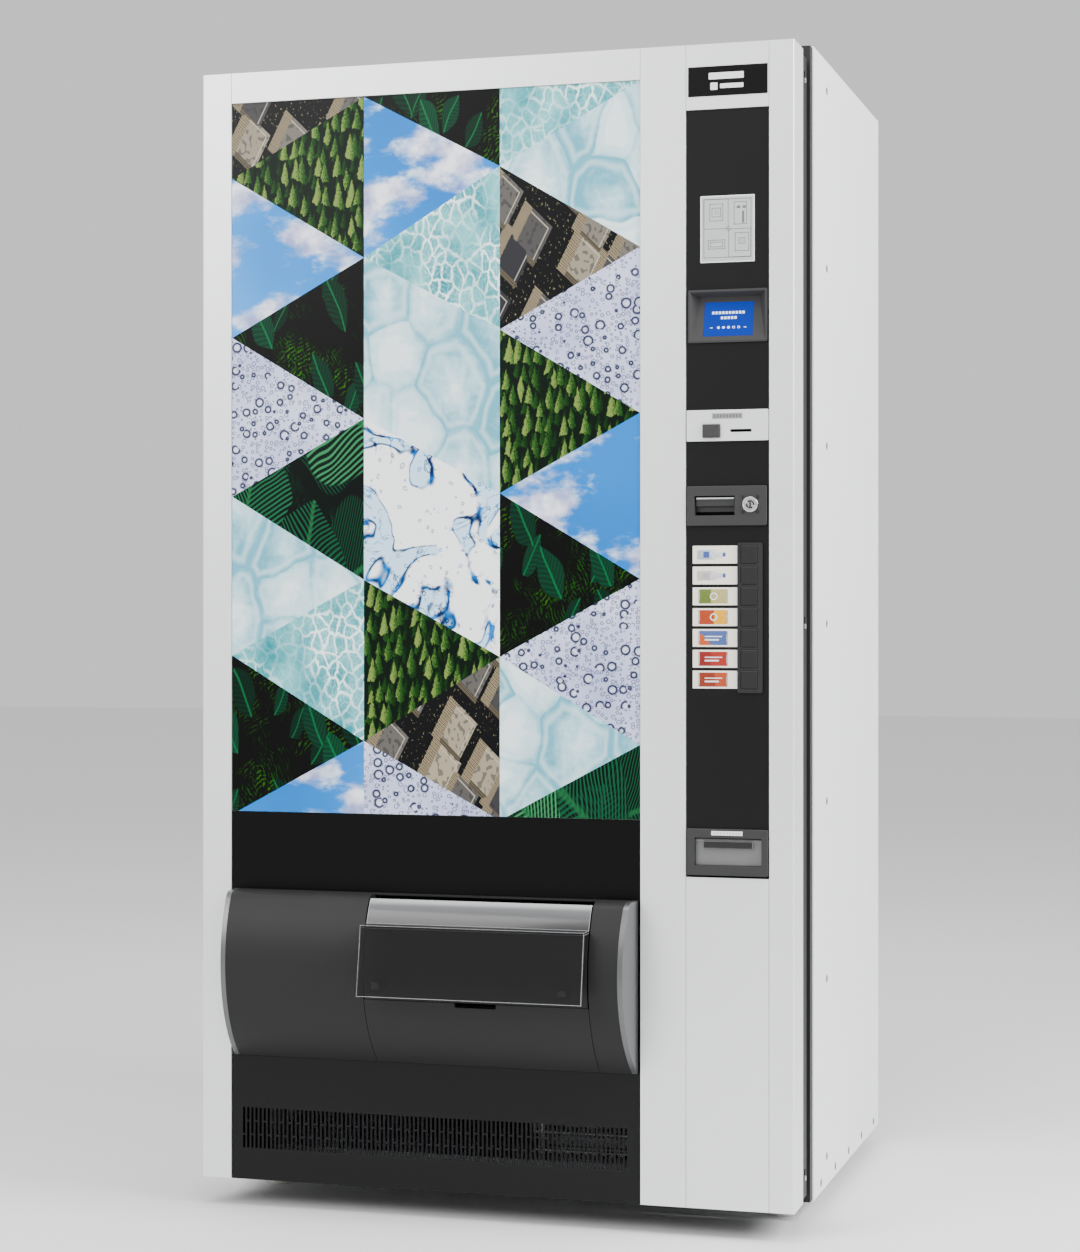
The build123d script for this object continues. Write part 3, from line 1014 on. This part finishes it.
# ---- cooling and power ------------------------------------------------------------


def fan(x, y, z, radius, blades, depth, shaft_back):
    """Axial fan: hub, shaft and pitched blades inside a thin ring."""
    hub = rod_y(y, y + depth, x, z, radius * 0.28)
    wheel = hub + rod_y(y + depth - 1, shaft_back, x, z, FAN_SHAFT)
    blade = Box(radius * 0.75, 2.0, radius * 0.42)
    for index in range(blades):
        turned = Pos(radius * 0.585, 0, 0) * Rot(28, 0, 0) * blade
        wheel += Pos(x, y + depth / 2, z) * Rot(0, 360 * index / blades, 0) * turned
    ring = rod_y(y, y + depth, x, z, radius) - rod_y(y - 1, y + depth + 1, x, z, radius - 2)
    return (wheel + ring) & rod_y(y, shaft_back, x, z, radius)


def evaporator_centre():
    return 0.0, EVAPORATOR_Y[0] - 34, (EVAPORATOR_Z[0] + EVAPORATOR_Z[1]) / 2


def evaporator():
    """Finned block with end plates and return bends, and the shroud that carries its fan's motor."""
    z0, z1 = EVAPORATOR_Z
    y0, y1 = EVAPORATOR_Y
    fins = 30
    pitch = 2 * EVAPORATOR_X / fins
    coil = block(-EVAPORATOR_X, EVAPORATOR_X, y0 + 12, y1 - 12, z0 + 12, z1 - 12)
    for index in range(fins + 1):
        x = -EVAPORATOR_X + index * pitch
        coil += block(x - 1.2, x + 1.2, y0, y1, z0, z1)
    x, y, z = evaporator_centre()
    shroud = block(-EVAPORATOR_X, EVAPORATOR_X, y0 - 12, y0 - 9, z0, z1)
    for side in (-1, 1):
        a, b = sorted((side * EVAPORATOR_X, side * (EVAPORATOR_X - 3)))
        shroud += block(a, b, y0 - 12, y0, z0, z1)
    shroud -= rod_y(y0 - 20, y0, x, z, EVAPORATOR_FAN_RADIUS)
    spider = block(x - EVAPORATOR_FAN_RADIUS - 6, x + EVAPORATOR_FAN_RADIUS + 6, y0 - 9, y0 - 6, z - 5, z + 5)
    spider += rod_y(y0 - 9, y0 - 1, x, z, 12)
    spider -= rod_y(y0 - 20, y0 + 1, x, z, FAN_SHAFT + RUNNING_FIT)
    return [coil, shroud + spider]


def evaporator_fan():
    x, y, z = evaporator_centre()
    return fan(x, y, z, EVAPORATOR_FAN_RADIUS - 3, 5, 18, EVAPORATOR_Y[0] - 1.5)


def compressor():
    """Hermetic compressor dome on a rubber-footed plate, with its terminal cover."""
    x, y, plate_top = -180.0, DEPTH - 260.0, FLOOR_TOP + 12
    dome = rod_z(plate_top, plate_top + 180, x, y, 75)
    dome = fillet(dome.faces().sort_by(Axis.Z)[-1].edges(), 45)
    dome = fillet(dome.faces().sort_by(Axis.Z)[0].edges(), 10)
    base = block(x - 110, x + 110, y - 70, y + 70, plate_top - 4, plate_top + 2)
    for dx in (-95, 95):
        for dy in (-55, 55):
            base += rod_z(FLOOR_TOP, plate_top, x + dx, y + dy, 12)
    cover = block(x + 60, x + 100, y - 25, y + 25, plate_top + 60, plate_top + 120)
    return dome + base + cover


def condenser_centre():
    return (CONDENSER_X[0] + CONDENSER_X[1]) / 2, CONDENSER_Y[1] + 30, (FLOOR_TOP + CONDENSER_TOP) / 2 + 10


def condenser():
    """Serpentine coil in a frame, and the shroud that carries its fan's motor."""
    x0, x1 = CONDENSER_X
    y0, y1 = CONDENSER_Y
    frame = block(x0, x1, y0, y1, FLOOR_TOP, CONDENSER_TOP)
    frame -= block(x0 + 3, x1 - 3, y0 - 1, y1 + 1, FLOOR_TOP + 3, CONDENSER_TOP - 3)
    tube, rows = 4.5, 10
    pitch = (CONDENSER_TOP - FLOOR_TOP - 30) / (rows - 1)
    for index in range(rows):
        for y in (y0 + 8, y1 - 8):
            frame += rod_x(x0 - 14, x1 + 14, y, FLOOR_TOP + 15 + index * pitch, tube)
    for index in range(rows - 1):
        end = x1 + 12 if index % 2 else x0 - 12
        for y in (y0 + 8, y1 - 8):
            z = FLOOR_TOP + 15 + index * pitch
            frame += rod_z(z, z + pitch, end, y, tube)
    x, y, z = condenser_centre()
    shroud = block(x0, x1, y1, y1 + 3, FLOOR_TOP, CONDENSER_TOP)
    shroud -= rod_y(y1 - 1, y1 + 4, x, z, CONDENSER_FAN_RADIUS - 8)
    arm = block(x0, x1, y1 + 75, y1 + 79, z - 12, z + 12) + rod_y(y1 + 60, y1 + 80, x, z, 22)
    for a in (x0, x1 - 4):
        arm += block(a, a + 4, y1 + 3, y1 + 79, z - 12, z + 12)
    arm -= rod_y(y1 + 50, y1 + 90, x, z, FAN_SHAFT + RUNNING_FIT)
    return [frame, shroud, arm]


def condenser_fan():
    x, y, z = condenser_centre()
    return fan(x, CONDENSER_Y[1] + 12, z, CONDENSER_FAN_RADIUS - 12, 5, 30, CONDENSER_Y[1] + 76)


def power_box():
    """Power supply box at the rear, with the mains inlet let into the rear panel."""
    case = block(INLET_X - 70, INLET_X + 70, SHELL_BACK - 108, SHELL_BACK, FLOOR_TOP, FLOOR_TOP + 150)
    case -= block(INLET_X - 71, INLET_X + 71, SHELL_BACK - 6, SHELL_BACK + 1, FLOOR_TOP - 1, FLOOR_TOP + 38)
    inlet = block(INLET_X - INLET_WIDTH / 2 + 0.3, INLET_X + INLET_WIDTH / 2 - 0.3, SHELL_BACK - 1, DEPTH,
                  INLET_Z - INLET_HEIGHT / 2 + 0.3, INLET_Z + INLET_HEIGHT / 2 - 0.3)
    socket_half_x, socket_half_z, socket_depth = 12.5, 8.5, 16.0
    socket = block(INLET_X - socket_half_x, INLET_X + socket_half_x, DEPTH - socket_depth, DEPTH + 1,
                   INLET_Z - socket_half_z, INLET_Z + socket_half_z)
    pins = None
    for dx, dz in ((-7, -2), (0, 2), (7, -2)):
        pin = block(INLET_X + dx - 1, INLET_X + dx + 1, DEPTH - socket_depth - 1, DEPTH - 4,
                    INLET_Z + dz - 2, INLET_Z + dz + 2)
        pins = pin if pins is None else pins + pin
    return case + inlet - socket + pins


def cabinet_fixings():
    """Flush side screws and the keepers of the lock bar."""
    solids = []
    for side in (-1, 1):
        for y, z in screw_places():
            a, b = sorted((side * HALF, side * (HALF - 2.2)))
            c, d = sorted((side * (HALF + 1), side * (HALF - 1.2)))
            solids.append(rod_x(a, b, y, z, SCREW_RADIUS) - rod_x(c, d, y, z, 2.2))
    keeper_x = PAN_SIDE - KEEPER_IN
    for z in STUD_HEIGHTS:
        low, high = z - KEEPER_HALF, z + KEEPER_HALF
        plate = block(keeper_x, keeper_x + KEEPER_SHEET, STUD_Y - 12, CHANNEL_FRONT, low, high)
        solids.append(plate - block(keeper_x - 1, keeper_x + KEEPER_SHEET + 1, STUD_Y - 6, STUD_Y + 6,
                                    z - 6, z + 12))
        solids.append(block(keeper_x + KEEPER_SHEET, keeper_x + 12, CHANNEL_FRONT - KEEPER_SHEET,
                            CHANNEL_FRONT, low, high))
    return solids


# ---- assembly -----------------------------------------------------------------
PIECES = [side_panels, top_panel, rear_panel, base_tray, levelling_feet, front_channel, hinge_brackets,
          cabinet_fixings, insulated_cell, column_walls, vend_motors, delivery_chute, evaporator,
          evaporator_fan,
          compressor, condenser, condenser_fan, power_box, inner_door, door_pan, left_column, right_column,
          centre_column, top_rail, column_covers, poster_window, payment_fascia, kick_panel, hatch_shells,
          hatch_end_caps, delivery_bin, flap_shell, flap_lid, display_bezel, display_screen, coin_plate,
          coin_return_button, lock_bezel, lock_paddle, lock_plug, lock_bar, button_bezel, labels, coin_cup,
          coin_flap, coin_mechanism]


def nodes():
    """Every node's name with its solids, in the modelling frame."""
    made = {piece.__name__: piece() for piece in PIECES}
    for index in range(SELECTIONS):
        made[f"selection_button_{index + 1}"] = selection_button(index)
        made[f"vend_rotor_{index + 1}"] = vend_rotor(index)
    return made


def main():
    os.makedirs("parts", exist_ok=True)
    for name, shape in nodes().items():
        shapes = shape if isinstance(shape, list) else [shape]
        solids = [solid for item in shapes for solid in item.solids()]
        moved = [Pos(0, ORIGIN_SHIFT, 0) * solid for solid in solids]
        export_step(moved[0] if len(moved) == 1 else Compound(children=moved), f"parts/{name}.step")
        print(name, len(solids))


if __name__ == "__main__":
    main()
